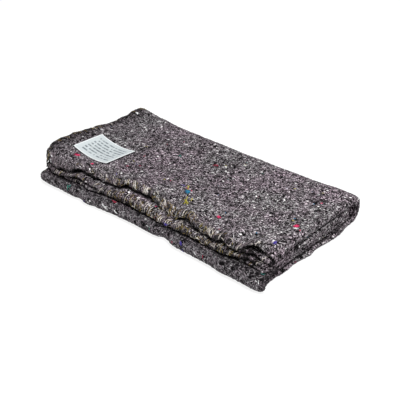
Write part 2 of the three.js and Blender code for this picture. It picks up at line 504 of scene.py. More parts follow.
def station_list():
    """Rows along the folded path, each with its count of turns."""
    hem_turns = ROUND_END / PANEL_SPAN
    rows = [Station(near / PANEL_SPAN, TOP, near=near) for near in ROUND_STEPS]
    for panel, steps in enumerate(PANEL_ROWS):
        start = panel + (hem_turns if panel == TOP else BEND_TURNS)
        end = panel + 1 - (hem_turns if panel == UPPER else BEND_TURNS)
        for t in np.linspace(0, 1, steps + 1):
            rows.append(Station(mix(start, end, t), panel, t=t))
        if panel < UPPER:
            for t in np.linspace(0, 1, BEND_ROWS[panel] + 1)[1:-1]:
                rows.append(Station(end + 2 * BEND_TURNS * t, bend=panel, t=t))
    rows += [Station(UPPER + 1 - near / PANEL_SPAN, UPPER, near=near) for near in ROUND_STEPS[::-1]]
    return rows


ROWS = station_list()


def faces_out(station):
    """Whether the first ply of a row is on the outside of the stack and can be seen."""
    return station.panel == TOP or station.bend in (SPINE_BEND, FRONT_BEND)


def half_unit(x, station):
    """Half the thickness of the unit at a station."""
    z = levels(x)

    def half(panel):
        return np.abs(z[panel][0] - z[panel][3]) / 2

    if station.bend is None:
        return half(station.panel)
    return mix(half(station.bend), half(station.bend + 1), station.t)


def edge_share(distance):
    """How much of the ply's thickness is left this far from a cut edge."""
    inside = np.clip(1 - distance / EDGE_ROUND, 0, 1)
    rounded = np.sqrt(np.clip(1 - inside * inside, 0, 1))
    pinched = 1 - EDGE_PINCHED * smooth(1 - distance / EDGE_PINCH)
    return np.maximum(rounded, EDGE_LEAST) * pinched


def end_uneven(turns):
    """Small waves in the cut ends."""
    along = turns * PANEL_SPAN
    return sum(height * math.sin(along / length + shift) for length, height, shift in END_UNEVEN)


def ply_row(station, ply, faces, turn):
    """Outer and inner points of one ply from its left end to the fold, and their distance from a cut edge."""
    left = table_at(ENDS, station.turns, ply) + end_uneven(station.turns)
    body = np.linspace(left + ROUND_END, turn, LEG_COLUMNS)
    x = np.concatenate([left + np.array(ROUND_STEPS), body])
    outer, from_hem = face_points(x, station, faces[0])
    inner = face_points(x, station, faces[1])[0]
    if station.panel == TOP:
        front = lip_drop(x, TOP, from_hem) if ply == "left_a" else 0
        drop = np.hypot(front, end_lip_drop(x - left, station.turns, ply)) - front
        outer[:, 2] -= drop
        inner[:, 2] -= drop
    middle = (outer + inner) / 2
    share = (edge_share(from_hem) * edge_share(x - left))[:, None]
    return mix(middle, outer, share), mix(middle, inner, share), np.minimum(from_hem, x - left)


def cloth_grids():
    """The outer and inner skins as grids of points, with each point's distance from the nearest cut edge."""
    outer, inner, edges = [], [], []
    angles = np.pi * np.arange(1, FOLD_COLUMNS) / FOLD_COLUMNS
    for station in ROWS:
        right = table_at(ENDS, station.turns, "right")
        half = half_unit(right, station)
        a = ply_row(station, "left_a", (0, 1), right - half)
        b = ply_row(station, "left_b", (3, 2), right - half)
        for grid, skin, depth in ((outer, 0, 0), (inner, 1, PLY)):
            fold = mix(a[skin][-1], b[skin][-1], (0.5 - 0.5 * np.cos(angles))[:, None])
            fold[:, 0] += (half - depth) * np.sin(angles)
            grid.append(np.concatenate([a[skin], fold, b[skin][::-1]]))
        fold_edge = np.full(len(angles), min(a[2][-1], b[2][-1]))
        edges.append(np.concatenate([a[2], fold_edge, b[2][::-1]]))
    return np.array(outer), np.array(inner), np.array(edges)


# Numbers that scatter whole-number cells, for the lumps of the felt.
CELL_STEPS = (374761393, 668265263, 2147483629)
SEED_STEP = 974634521
CELL_SCATTER = 1274126177


def lattice(cells, seed):
    """A fixed number from -1 to 1 for each whole-number cell."""
    n = (cells.astype(np.int64) * CELL_STEPS).sum(-1) + seed * SEED_STEP
    n = (n ^ (n >> 13)) * CELL_SCATTER & 0xFFFFFFFF
    return ((n ^ (n >> 16)) & 0xFFFF) / 32767.5 - 1


def lumps(points, size, seed):
    """Smooth uneven lumps about this many millimetres across, from -1 to 1."""
    q = points / size
    base = np.floor(q)
    f = smooth(q - base)
    total = 0
    for corner in np.ndindex(2, 2, 2):
        weight = np.prod(np.where(corner, f, 1 - f), axis=-1)
        total = total + weight * lattice(base + corner, seed)
    return total


def normalised(vectors):
    return vectors / np.maximum(np.linalg.norm(vectors, axis=-1, keepdims=True), TINY)


def grid_normals(grid):
    return normalised(np.cross(np.gradient(grid, axis=1), np.gradient(grid, axis=0)))


# How far a crease bows sideways, and over how much of it each end fades, as shares of its length.
CREASE_BOW = 0.08
CREASE_FADE = 0.35


def crease_height(x, y):
    """The relief of the creases at a place."""
    total = 0 * x
    for x0, y0, x1, y1, width, height in zip(*CREASES.values()):
        run_x = x1 - x0
        run_y = y1 - y0
        length = math.hypot(run_x, run_y)
        along = ((x - x0) * run_x + (y - y0) * run_y) / length**2
        bowed = CREASE_BOW * length * np.sin(np.pi * np.clip(along, 0, 1))
        across = ((y - y0) * run_x - (x - x0) * run_y) / length - bowed
        fade = smooth(along / CREASE_FADE) * smooth((1 - along) / CREASE_FADE)
        total = total + height * fade * np.exp(-((across / width) ** 2))
    return total


def label_place(x, y):
    """How far along and across the label a place lies, each 0 to 1 on the label."""
    along = (x - LABEL_X) * math.cos(LABEL_TURN) + (y - LABEL_Y) * math.sin(LABEL_TURN)
    across = -(x - LABEL_X) * math.sin(LABEL_TURN) + (y - LABEL_Y) * math.cos(LABEL_TURN)
    return 0.5 + along / LABEL_LENGTH, 0.5 + across / LABEL_WIDTH


def label_height(u, v):
    """Height of the label's underside."""
    left = mix(LABEL_HEIGHTS["left_front"], LABEL_HEIGHTS["left_back"], v)
    right = mix(LABEL_HEIGHTS["right_front"], LABEL_HEIGHTS["right_back"], v)
    return mix(left, right, u) - LABEL_SAG * bow(u)


def under_label(x, y, margin):
    """1 on the label's place, fading to 0 over the margin round it."""
    u, v = label_place(x, y)
    outside = np.maximum((np.abs(u - 0.5) - 0.5) * LABEL_LENGTH, (np.abs(v - 0.5) - 0.5) * LABEL_WIDTH)
    return smooth(1 - outside / margin)


# Lumps of the felt, from broad to fine, the share of them where the cloth is hidden or folded over, and how
# much the label smooths them, over a margin round it.
LUMPS = columns("size height seed", (46, 0.75, 1), (17, 0.5, 2), (6.5, 0.3, 3))
HIDDEN_SHARE = 0.3
FOLD_SHARE = 0.8
LABEL_SMOOTHS = 0.9
LABEL_MARGIN = 8


def add_relief(grid):
    """The outer skin with its lumps and creases along the normals, held down under the label."""
    x, y = grid[..., 0], grid[..., 1]
    on_top = np.zeros(grid.shape[:2], bool)
    seen = np.full(grid.shape[:2], HIDDEN_SHARE)
    for r, station in enumerate(ROWS):
        on_top[r, :LEG] = station.panel == TOP
        if faces_out(station):
            seen[r, :LEG] = 1
        elif station.panel == BOTTOM:
            seen[r, :LEG] = 0
    seen[:, FOLD] = FOLD_SHARE
    flat = under_label(x, y, LABEL_MARGIN)
    lumpy = sum(rise * lumps(grid, size, int(seed)) for size, rise, seed in zip(*LUMPS.values()))
    height = lumpy * (1 - LABEL_SMOOTHS * flat) * seen + crease_height(x, y) * on_top * (1 - flat)
    moved = grid + grid_normals(grid) * height[..., None]
    z = moved[..., 2]
    u, v = label_place(moved[..., 0], moved[..., 1])
    to_edge = np.minimum(np.clip(1 - u, 0, 1) * LABEL_LENGTH, np.clip(v, 0, 1) * LABEL_WIDTH)
    gap = LABEL_GAP + LABEL_EDGE_GAP * smooth(1 - to_edge / LABEL_EDGE)
    held_down = np.minimum(z, label_height(np.clip(u, 0, 1), np.clip(v, 0, 1)) - gap)
    z = np.where(on_top, mix(z, held_down, flat), z)
    moved[..., 2] = np.maximum(z, 0)
    return moved


# How much greyer than the rest the felt is: all along the front fold, and towards the left end of the top and
# the upper panel. Each of these has its share, where it starts and the length over which it grows.
FOLD_GREY = 0.9
LEFT_GREY = {TOP: (0.6, -90, 110), UPPER: (0.7, -20, 60)}


def grey_places(grid):
    grey = np.zeros(grid.shape[:2])
    for r, station in enumerate(ROWS):
        if station.bend == FRONT_BEND:
            grey[r] = FOLD_GREY
        elif station.panel in LEFT_GREY:
            share, start, length = LEFT_GREY[station.panel]
            grey[r] = share * smooth((start - grid[r, :, 0]) / length)
    return grey


def new_object(name, points, faces, material):
    """A smooth mesh of points in millimetres."""
    mesh = bpy.data.meshes.new(name)
    mesh.from_pydata((points * MM).tolist(), [], faces)
    mesh.polygons.foreach_set("use_smooth", np.full(len(mesh.polygons), True))
    mesh.materials.append(material)
    mesh.update()
    made = bpy.data.objects.new(name, mesh)
    bpy.context.scene.collection.objects.link(made)
    return made


def new_piece(name, points, faces, material):
    piece = new_object(name, points, faces, material)
    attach(piece, "root")
    return piece


def sheet_faces(rows, across):
    """Quads of two matching grids closed round their rim, the outer grid's points coming first."""
    out = np.arange(rows * across).reshape(rows, across)
    inn = out + rows * across
    quads = (
        (out[:-1, :-1], out[:-1, 1:], out[1:, 1:], out[1:, :-1]),
        (inn[:-1, :-1], inn[1:, :-1], inn[1:, 1:], inn[:-1, 1:]),
        (out[:-1, 0], out[1:, 0], inn[1:, 0], inn[:-1, 0]),
        (out[1:, -1], out[:-1, -1], inn[:-1, -1], inn[1:, -1]),
        (out[0, 1:], out[0, :-1], inn[0, :-1], inn[0, 1:]),
        (out[-1, :-1], out[-1, 1:], inn[-1, 1:], inn[-1, :-1]),
    )
    return np.concatenate([np.stack([side.ravel() for side in quad], -1) for quad in quads]).tolist()


def sheet_piece(name, outer, inner, material):
    """A closed sheet between two matching grids of points."""
    points = np.concatenate([outer.reshape(-1, 3), inner.reshape(-1, 3)])
    return new_piece(name, points, sheet_faces(*outer.shape[:2]), material)


# Materials.
def linear(red, green, blue):
    """An 8-bit sRGB colour as Blender's linear values."""

    def one(v):
        s = v / 255
        return s / 12.92 if s <= 0.04045 else ((s + 0.055) / 1.055) ** 2.4

    return (one(red), one(green), one(blue), 1)


def new_material(name, roughness, sheen, specular, sheen_tint=WHITE):
    material = bpy.data.materials.new(name)
    material.use_nodes = True
    shader = material.node_tree.nodes["Principled BSDF"]
    shader.inputs["Roughness"].default_value = roughness
    shader.inputs["Sheen Weight"].default_value = sheen
    shader.inputs["Sheen Tint"].default_value = sheen_tint
    shader.inputs["Specular IOR Level"].default_value = specular
    return material, material.node_tree, shader


def node(tree, kind, inputs=(), **settings):
    """A new node with its settings, and its inputs set or linked."""
    made = tree.nodes.new(kind)
    for name, value in settings.items():
        setattr(made, name, value)
    for name, value in dict(inputs).items():
        if isinstance(value, bpy.types.NodeSocket):
            tree.links.new(value, made.inputs[name])
        else:
            made.inputs[name].default_value = value
    return made


def noise(tree, place, scale, detail=2.0, roughness=0.5):
    inputs = {"Vector": place, "Scale": scale, "Detail": detail, "Roughness": roughness}
    return node(tree, "ShaderNodeTexNoise", inputs).outputs["Fac"]


def ramp(tree, value, low, high, out_low=0.0, out_high=1.0):
    """A smooth step of a value from low to high, as out_low to out_high."""
    inputs = {"Value": value, "From Min": low, "From Max": high, "To Min": out_low, "To Max": out_high}
    return node(tree, "ShaderNodeMapRange", inputs, interpolation_type="SMOOTHSTEP").outputs["Result"]


def maths(tree, operation, a, b=0.0):
    return node(tree, "ShaderNodeMath", {0: a, 1: b}, operation=operation).outputs[0]


def plus(tree, a, b):
    return maths(tree, "ADD", a, b)


def times(tree, a, b):
    return maths(tree, "MULTIPLY", a, b)


def from_middle(tree, value):
    return maths(tree, "SUBTRACT", value, 0.5)


def off_middle(tree, value):
    """How far a value lies from 0.5, to either side."""
    return maths(tree, "ABSOLUTE", from_middle(tree, value))


def blend(tree, share, a, b, kind="MIX"):
    made = node(tree, "ShaderNodeMix", {0: share, 6: a, 7: b}, data_type="RGBA", blend_type=kind)
    return made.outputs[2]


def object_place(tree):
    return node(tree, "ShaderNodeTexCoord").outputs["Object"]


def attribute(tree, name):
    return node(tree, "ShaderNodeAttribute", attribute_name=name).outputs["Fac"]


def cover(tree, shader, colour, height, strength, distance):
    """Gives a material its colour, and a bump of this strength and distance in metres."""
    tree.links.new(colour, shader.inputs["Base Color"])
    bump = node(tree, "ShaderNodeBump", {"Strength": strength, "Distance": distance, "Height": height})
    tree.links.new(bump.outputs[0], shader.inputs["Normal"])


def moved_place(tree, place, scale, reach):
    """The place pushed about by noise, so that what follows it curls."""

    def vector_maths(operation, inputs):
        return node(tree, "ShaderNodeVectorMath", inputs, operation=operation).outputs[0]

    pushes = node(tree, "ShaderNodeTexNoise", {"Vector": place, "Scale": scale, "Detail": 2.0})
    centred = vector_maths("SUBTRACT", {0: pushes.outputs["Color"], 1: (0.5, 0.5, 0.5)})
    scaled = vector_maths("SCALE", {0: centred, "Scale": reach})
    return vector_maths("ADD", {0: place, 1: scaled})


# The full part of a curly line, as a share of its width, and the scale and fade of the noise that keeps it.
LINE_CORE = 0.2
LINE_KEPT_SCALE = 0.55
LINE_KEPT_FADE = 0.08
FLECK_CORE = 0.7


def curl_lines(tree, place, scale, width, share):
    """Curly fibre lines: the level lines of a noise, kept only in some places."""
    off = off_middle(tree, noise(tree, place, scale, 1.0, 0.4))
    line = ramp(tree, off, width, LINE_CORE * width)
    places = noise(tree, place, LINE_KEPT_SCALE * scale, 1.0)
    return times(tree, line, ramp(tree, places, 1 - share, 1 - share + LINE_KEPT_FADE))


def flecks(tree, place, scale, chance, size):
    """Small spots: some cells of a random pattern, each near its own middle."""
    cells = node(tree, "ShaderNodeTexVoronoi", {"Vector": place, "Scale": scale})
    drawn = node(tree, "ShaderNodeSeparateColor", {"Color": cells.outputs["Color"]})
    chosen = maths(tree, "LESS_THAN", drawn.outputs[0], chance)
    return times(tree, chosen, ramp(tree, cells.outputs["Distance"], size, FLECK_CORE * size))


FELT_DARK = linear(13, 11, 13)
FELT_BLACK = linear(5, 4, 5)
FELT_PALE = linear(176, 170, 174)
FELT_WHITE = linear(232, 230, 230)

# Tones of the felt from its dark hollows to its pale fibre tips.
FELT_TONES = (
    (0.00, linear(3, 2, 3)),
    (0.22, linear(17, 15, 16)),
    (0.44, linear(58, 52, 55)),
    (0.62, linear(98, 89, 95)),
    (0.82, linear(142, 134, 139)),
    (1.00, linear(194, 188, 191)),
)
FELT_LEVEL = 0.462
FELT_GREY_LIFT = 0.098
FELT_MAUVE_TINT = (1.07, 0.94, 1.03, 1)
FELT_GREEN_TINT = (0.94, 1.0, 0.96, 1)
FELT_GREY_TINT = (0.86, 0.925, 0.895, 1)
FELT_SHEEN = linear(205, 195, 205)

# Noises in the felt, each with its scale, detail and roughness: the drift of its tint, broad and small
# clumps, the grain, and the fuzz that only raises it.
DRIFT = (14.0, 3.0, 0.6)
DRIFT_SPAN = (0.36, 0.66)
BROAD = (34.0, 2.0, 0.5)
CLUMPS = (150.0, 3.0, 0.6)
GRAIN = (400.0, 2.0, 0.6)
FUZZ = (320.0, 4.0, 0.7)

# How strongly they show in its tone, and the share of that which is left where the felt is grey.
BROAD_CONTRAST = 0.4
CLUMP_CONTRAST = 0.9
GRAIN_CONTRAST = 5.2
GREY_CONTRAST = 0.52
GREY_CONTRAST_SPAN = (0.5, 0.9)
GREY_LIFT_SPAN = (0.75, 0.9)

# Noises that curl the finer patterns: their scale, and how far they push in metres.
CURLS = {"fine": (210.0, 0.006), "line": (150.0, 0.009), "broad": (120.0, 0.004)}

# Curly lines: their scale, width and share of the felt, and how strongly they show.
DARK_LINES = (220.0, 0.04, 0.5)
DARK_LINES_SHOW = 0.6
PALE_LINES = (210.0, 0.035, 0.42)
PALE_LINES_SHOW = 0.32

# Flecks: their curl, their scale, the share of cells that have one, their size and their colour.
FELT_FLECKS = (
    ("fine", 260.0, 0.2, 0.48, FELT_DARK),
    ("fine", 280.0, 0.03, 0.44, FELT_WHITE),
    ("broad", 96.0, 0.28, 0.42, FELT_BLACK),
    ("broad", 134.0, 0.14, 0.44, FELT_BLACK),
    ("broad", 150.0, 0.055, 0.36, FELT_WHITE),
    ("fine", 170.0, 0.002, 0.4, linear(176, 60, 92)),
    ("fine", 185.0, 0.002, 0.4, linear(140, 134, 50)),
    ("fine", 200.0, 0.002, 0.4, linear(60, 110, 140)),
)

# Wear and painted shade are full this near to an edge, in metres, and end this far from it.
WEAR_AND_SHADE_SPAN = (0.0010, 0.0085)
WEAR_AND_SHADE_SHOWS = 0.9

# How much the clumps and the pale lines add to the height of the fuzz.
CLUMPS_RISE = 0.6
LINES_RISE = 0.5


def tone_ramp(tree, value, tones):
    made = node(tree, "ShaderNodeValToRGB", {"Fac": value})
    stops = made.color_ramp.elements
    while len(stops) < len(tones):
        stops.new(1.0)
    for stop, (place, colour) in zip(stops, tones):
        stop.position = place
        stop.color = colour
    return made.outputs["Color"]


def spread(tree, value, strength):
    """A noise value's distance from its middle, made larger."""
    return times(tree, from_middle(tree, value), strength)


def felt_material():
    material, tree, shader = new_material(
        "felt", roughness=0.95, sheen=0.05, specular=0.05, sheen_tint=FELT_SHEEN
    )
    place = object_place(tree)
    curls = {name: moved_place(tree, place, *curl) for name, curl in CURLS.items()}

    clumps = noise(tree, curls["fine"], *CLUMPS)
    grain = noise(tree, curls["fine"], *GRAIN)
    uneven = plus(tree, spread(tree, clumps, CLUMP_CONTRAST), spread(tree, grain, GRAIN_CONTRAST))
    uneven = plus(tree, uneven, spread(tree, noise(tree, place, *BROAD), BROAD_CONTRAST))
    grey = attribute(tree, "grey")
    uneven = times(tree, uneven, ramp(tree, grey, *GREY_CONTRAST_SPAN, 1.0, GREY_CONTRAST))
    level = ramp(tree, grey, *GREY_LIFT_SPAN, FELT_LEVEL, FELT_LEVEL + FELT_GREY_LIFT)
    colour = tone_ramp(tree, plus(tree, uneven, level), FELT_TONES)
    drift = ramp(tree, noise(tree, place, *DRIFT), *DRIFT_SPAN)
    tint = blend(tree, drift, FELT_MAUVE_TINT, FELT_GREEN_TINT)
    colour = blend(tree, 1.0, colour, blend(tree, grey, tint, FELT_GREY_TINT), "MULTIPLY")

    dark_lines = curl_lines(tree, curls["fine"], *DARK_LINES)
    pale_lines = curl_lines(tree, curls["line"], *PALE_LINES)
    colour = blend(tree, times(tree, dark_lines, DARK_LINES_SHOW), colour, FELT_DARK)
    colour = blend(tree, times(tree, pale_lines, PALE_LINES_SHOW), colour, FELT_PALE)
    for curl, scale, chance, size, tone in FELT_FLECKS:
        colour = blend(tree, flecks(tree, curls[curl], scale, chance, size), colour, tone)
    # The felt darkens by wear along its edges, and by painted shade in the slots, the nook, under the hems
    # and at the rim by the floor.
    mask = ramp(tree, attribute(tree, "edge"), *WEAR_AND_SHADE_SPAN, WEAR_AND_SHADE_SHOWS, 0.0)
    colour = blend(tree, mask, colour, FELT_DARK)

    fuzz = plus(tree, noise(tree, curls["fine"], *FUZZ), times(tree, clumps, CLUMPS_RISE))
    height = plus(tree, fuzz, times(tree, pale_lines, LINES_RISE))
    cover(tree, shader, colour, height, strength=0.8, distance=0.0012)
    return material


# Thread goes from one of its tones to the other and back over its length, with a fine twist.
THREAD_DRIFT = 120.0
THREAD_SPAN = (0.35, 0.65)
THREAD_TWIST = 900.0
THREAD_UNEVEN = 3.0


def thread_material(name, one, other):
    material, tree, shader = new_material(name, roughness=0.85, sheen=0.1, specular=0.2)
    place = object_place(tree)
    colour = blend(tree, ramp(tree, noise(tree, place, THREAD_DRIFT), *THREAD_SPAN), one, other)
    inputs = {"Vector": place, "Scale": THREAD_TWIST, "Distortion": THREAD_UNEVEN}
    twist = node(tree, "ShaderNodeTexWave", inputs).outputs["Fac"]
    cover(tree, shader, colour, twist, strength=0.4, distance=0.0002)
    return material


# The blanket.
OUTER, INNER, EDGE = cloth_grids()
OUTER = add_relief(OUTER)
NORMAL = grid_normals(OUTER)

# Wear and painted shade darken the edges. They start this many millimetres out from the hems, and less is
# seen where they are closed. Along the cut ends of the top ply they reach further in, by a share of the
# distance.
HEM_WEAR_AND_SHADE = columns(
    "x first other",
    (-260, 6, 8),
    (-110, 6, 8),
    (-80, 3.2, 4.5),
    (100, 3.2, 4.5),
    (180, 2.5, 4),
    (205, 4.5, 3.8),
    (260, 4.5, 3.8),
)
CLOSED_WEAR_AND_SHADE = 3
END_WEAR_AND_SHADE = columns("y share", (-120, 0.16), (-60, 0.2), (0, 0.27), (60, 0.22), (140, 0.16))

# Painted shade along the slots between the folded right ends, and along the rim that touches the floor.
# There is no slot round the front fold.
SLOT_ROUND = 5.2
SLOT_SHADE = 2.6
NO_SLOT = 0.2
RIM_START = 0.5
RIM_SHADE = 1.4
WEAR_AND_SHADE_REACH = 100

# Painted shade darkens the front fold upwards, to where the hems lie over it.
SHADE_START = 0.5
SHADE_FROM = 8.5
SHADE_TO = 3.5

# Painted shade also darkens the low part of the right end, towards its front corner.
CORNER_Y = -55
CORNER_FADE = 40
CORNER_Z = 28
CORNER_RISE = 10
CORNER_SHADE = 2.6

# Painted shade darkens the underside of the top unit where its folded end meets the hem.
NOOK_TURNS = 0.115
NOOK_START = 0.35
NOOK_FULL = 0.75
NOOK_SHADE = 0.8


def under_hems():
    """How far each row lies under the hems: all of the lower panel, and the upper part of the front fold."""
    share = np.zeros(len(ROWS))
    for r, station in enumerate(ROWS):
        if station.bend == FRONT_BEND:
            share[r] = smooth((station.t - SHADE_START) / (1 - SHADE_START))
        elif station.panel == LOWER:
            share[r] = 1
    return share


def wear_and_shade_distance():
    """The distance from the nearest edge or shaded place, for the wear and the painted shade."""
    x, y, z = np.moveaxis(OUTER, -1, 0)
    distance = EDGE + table_at(HEM_WEAR_AND_SHADE, x, "other")
    for r, station in enumerate(ROWS):
        if station.panel == TOP:
            leg = x[r, :LEG]
            from_hem = EDGE[r, :LEG] + table_at(HEM_WEAR_AND_SHADE, leg, "first") + CLOSED_WEAR_AND_SHADE * hem_closed(leg)
            from_end = table_at(END_WEAR_AND_SHADE, y[r, :LEG], "share") * (leg - leg[0])
            distance[r, :LEG] = np.minimum(from_hem, from_end)

    # Painted shade in the slots between the folded right ends, at the right end's low front corner and in the
    # nook under the top unit.
    turns = np.array([station.turns for station in ROWS])
    slotted = np.abs(turns - FRONT_TURNS) > NO_SLOT
    round_end = np.arange(1, FOLD_COLUMNS) / FOLD_COLUMNS
    from_slot = np.where(slotted[:, None], SLOT_SHADE * SLOT_ROUND * np.pi * (1 - round_end), FAR)
    corner = smooth((CORNER_Y - y[:, FOLD]) / CORNER_FADE) * smooth((CORNER_Z - z[:, FOLD]) / CORNER_RISE)
    under_top = smooth((round_end - NOOK_START) / (NOOK_FULL - NOOK_START))
    nook = smooth(1 - turns / NOOK_TURNS)[:, None] * under_top
    for shade in (from_slot, mix(SHADE_FROM, CORNER_SHADE, corner), mix(SHADE_FROM, NOOK_SHADE, nook)):
        distance[:, FOLD] = np.minimum(distance[:, FOLD], shade)
    distance[slotted, FOLD.stop] = 0

    # Painted shade on the front fold under the hems.
    shaded = mix(SHADE_FROM, SHADE_TO, under_hems())[:, None]
    distance[:, :LEG] = np.minimum(distance[:, :LEG], np.where(shaded < SHADE_FROM, shaded, FAR))
    # Painted shade along the rim by the floor.
    return np.minimum(distance, RIM_START + RIM_SHADE * z)


def point_values(piece, name, values):
    """Gives each point of a sheet a value, the same on both of its skins."""
    layer = piece.data.attributes.new(name, "FLOAT", "POINT")
    layer.data.foreach_set("value", np.tile(values.ravel(), 2).astype(np.float32))


blanket = sheet_piece("blanket_felt", OUTER, INNER, felt_material())
# Its edge values place the wear and the painted shade on the felt.
point_values(blanket, "edge", np.minimum(wear_and_shade_distance(), WEAR_AND_SHADE_REACH) * MM)
point_values(blanket, "grey", grey_places(OUTER))
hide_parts("blanket")

# Grids are read to just short of their last row and column.
GRID_END = 1.001


def on_grid(grid, r, c):
    """Points of a grid at fractional rows and columns."""
    r = np.clip(r, 0, grid.shape[0] - GRID_END)
    c = np.clip(c, 0, grid.shape[1] - GRID_END)
    i, j = r.astype(int), c.astype(int)
    u, v = (r - i)[..., None], (c - j)[..., None]
    return mix(mix(grid[i, j], grid[i + 1, j], u), mix(grid[i, j + 1], grid[i + 1, j + 1], u), v)


def tubes(name, paths, ups, sides, radius, flat, material):
    """Closed tubes along many paths of equally many points, flattened towards the cloth, as one piece."""
    count, steps = paths.shape[:2]
    run = normalised(np.gradient(paths, axis=1))
    side = normalised(np.cross(run, ups))
    over = np.cross(side, run)
    angles = 2 * np.pi * np.arange(sides)[:, None] / sides
    ring = np.cos(angles) * side[:, :, None] + flat * np.sin(angles) * over[:, :, None]
    points = paths[:, :, None] + ring * np.broadcast_to(radius, (count, steps))[:, :, None, None]
    points[..., 2] = np.maximum(points[..., 2], 0)
    index = np.arange(count * steps * sides).reshape(count, steps, sides)
    after = np.roll(index, -1, axis=2)
    walls = np.stack([index[:, :-1], after[:, :-1], after[:, 1:], index[:, 1:]], -1).reshape(-1, 4)
    caps = np.stack([index[:, 0, ::-1], index[:, -1]], 1).reshape(-1, sides)
    return new_piece(name, points.reshape(-1, 3), walls.tolist() + caps.tolist(), material)


# Loose fibres in the face of the felt, where it can be seen. Of the upper panel that is the part beyond so
# many turns. Few lie at the rim by the floor, or where the hems shade the cloth.
ROW_STEP = np.linalg.norm(np.gradient(OUTER, axis=0), axis=-1)
COLUMN_STEP = np.linalg.norm(np.gradient(OUTER, axis=1), axis=-1)
UPPER_SEEN = 3.75
LABEL_COVER = 5
RIM_HEIGHT = 3
RIM_SEEN = 0.2
SHADE_HIDES = 0.8


def seen_weight():
    """The area at each grid point, as far as it can be seen."""
    weight = np.zeros(EDGE.shape)
    for r, station in enumerate(ROWS):
        if faces_out(station):
            weight[r, :LEG] = 1
        if station.panel == UPPER and station.turns > UPPER_SEEN:
            weight[r, FOLD.stop + 1 :] = 1
    weight[:, FOLD] = 1
    weight *= 1 - under_label(OUTER[..., 0], OUTER[..., 1], LABEL_COVER)
    weight[OUTER[..., 2] < RIM_HEIGHT] *= RIM_SEEN
    weight[:, :LEG] *= 1 - SHADE_HIDES * under_hems()[:, None]
    return weight * ROW_STEP * COLUMN_STEP


# Points of a fibre and its thickness at each, the spread of its bend in radians, the least and most of its
# length and lift, and the lift of its ends, as shares.
FIBRE_POINTS = 5
FIBRE_TAPER = np.array([0.45, 0.9, 1.0, 0.9, 0.4])
FIBRE_BEND = 1.1
FIBRE_LENGTHS = (0.6, 1.4)
FIBRE_LIFTS = (0.4, 1.6)
FIBRE_FOOT = 0.25

# A walk over the grid is made in so many steps, and no cell counts as narrower than this.
WALK_STEPS = 3
LEAST_CELL = 0.2


def walked(r, c, across, along):
    """Fractional rows and columns after a walk of so many millimetres across and along the cloth."""
    for _ in range(WALK_STEPS):
        i = np.clip(np.rint(r), 0, OUTER.shape[0] - 1).astype(int)
        j = np.clip(np.rint(c), 0, OUTER.shape[1] - 1).astype(int)
        r = r + across / WALK_STEPS / np.maximum(ROW_STEP[i, j], LEAST_CELL)
        c = c + along / WALK_STEPS / np.maximum(COLUMN_STEP[i, j], LEAST_CELL)
    return r, c


def laid_fibres(r, c, heading, bend, length, foot, rise, steps=FIBRE_POINTS):
    """Curved fibres over the outer skin from fractional rows and columns, and the directions away from it."""
    paths, ups = [], []
    step = length / (steps - 1)
    for k in range(steps):
        along = k / (steps - 1)
        lift = foot + rise * math.sin(math.pi * along)
        up = on_grid(NORMAL, r, c)
        paths.append(on_grid(OUTER, r, c) + up * np.reshape(lift, (-1, 1)))
        ups.append(up)
        turn = heading + bend * along
        r, c = walked(r, c, step * np.sin(turn), step * np.cos(turn))
    return np.stack(paths, 1), np.stack(ups, 1)


def fibre_paths(count, length, lift, weight, steps=FIBRE_POINTS):
    """Fibres strewn over the outer skin by weight."""
    weight = weight.ravel()
    start = random.choice(len(weight), count, p=weight / weight.sum())
    r = start // OUTER.shape[1] + random.uniform(-0.5, 0.5, count)
    c = start % OUTER.shape[1] + random.uniform(-0.5, 0.5, count)
    heading = random.uniform(0, 2 * np.pi, count)
    bend = random.normal(0, FIBRE_BEND, count)
    size = length * random.uniform(*FIBRE_LENGTHS, count)
    raised = lift * random.uniform(*FIBRE_LIFTS, count)
    return laid_fibres(r, c, heading, bend, size, FIBRE_FOOT * raised, raised, steps)


# Kinds of fibre: their number, length, radius and two tones. They keep clear of the cut edges.
FIBRE_KINDS = (
    ("fibres_pale", 7500, 4.6, 0.40, linear(164, 154, 160), linear(114, 103, 110)),
    ("fibres_dark", 7000, 5.0, 0.48, linear(14, 12, 14), linear(36, 31, 34)),
    ("fibres_mauve", 2600, 7.0, 0.42, linear(108, 95, 103), linear(80, 70, 76)),
)
FIBRE_LIFT = 0.25
FIBRE_SIDES = 3
FIBRE_FLAT = 0.7
FIBRE_CLEAR = 3
FIBRE_CLEAR_FADE = 5
SEEN = seen_weight()
for name, count, length, radius, one, other in FIBRE_KINDS:
    clear = SEEN * smooth((EDGE - FIBRE_CLEAR) / FIBRE_CLEAR_FADE)
    paths, ups = fibre_paths(count, length, FIBRE_LIFT, clear)
    material = thread_material(name, one, other)
    tubes(name, paths, ups, FIBRE_SIDES, radius * FIBRE_TAPER, FIBRE_FLAT, material)

# Overlock stitches along the hems and the cut ends: how far apart they are and how far they stay from the
# ends of an edge, their shift, slant and depth by chance, and the radius of their thread.
STITCH_PITCH = 3.5
STITCH_START = 3
STITCH_STOP = 1
STITCH_SHIFT = 0.5
STITCH_SLANT = (0.55, 0.3)
STITCH_DEPTH = 11.5
STITCH_DEPTHS = (0.55, 1.2)
STITCH_FLAT = 0.7
END_PITCH = 3.2
END_MARGIN = 4
THREAD = 0.66
THREAD_SIDES = 4

# The rows or columns of the grid that stitches reach over, and a depth that is inside the edge's rounding.
EDGE_CELLS = 12
RIM_INSIDE = 6

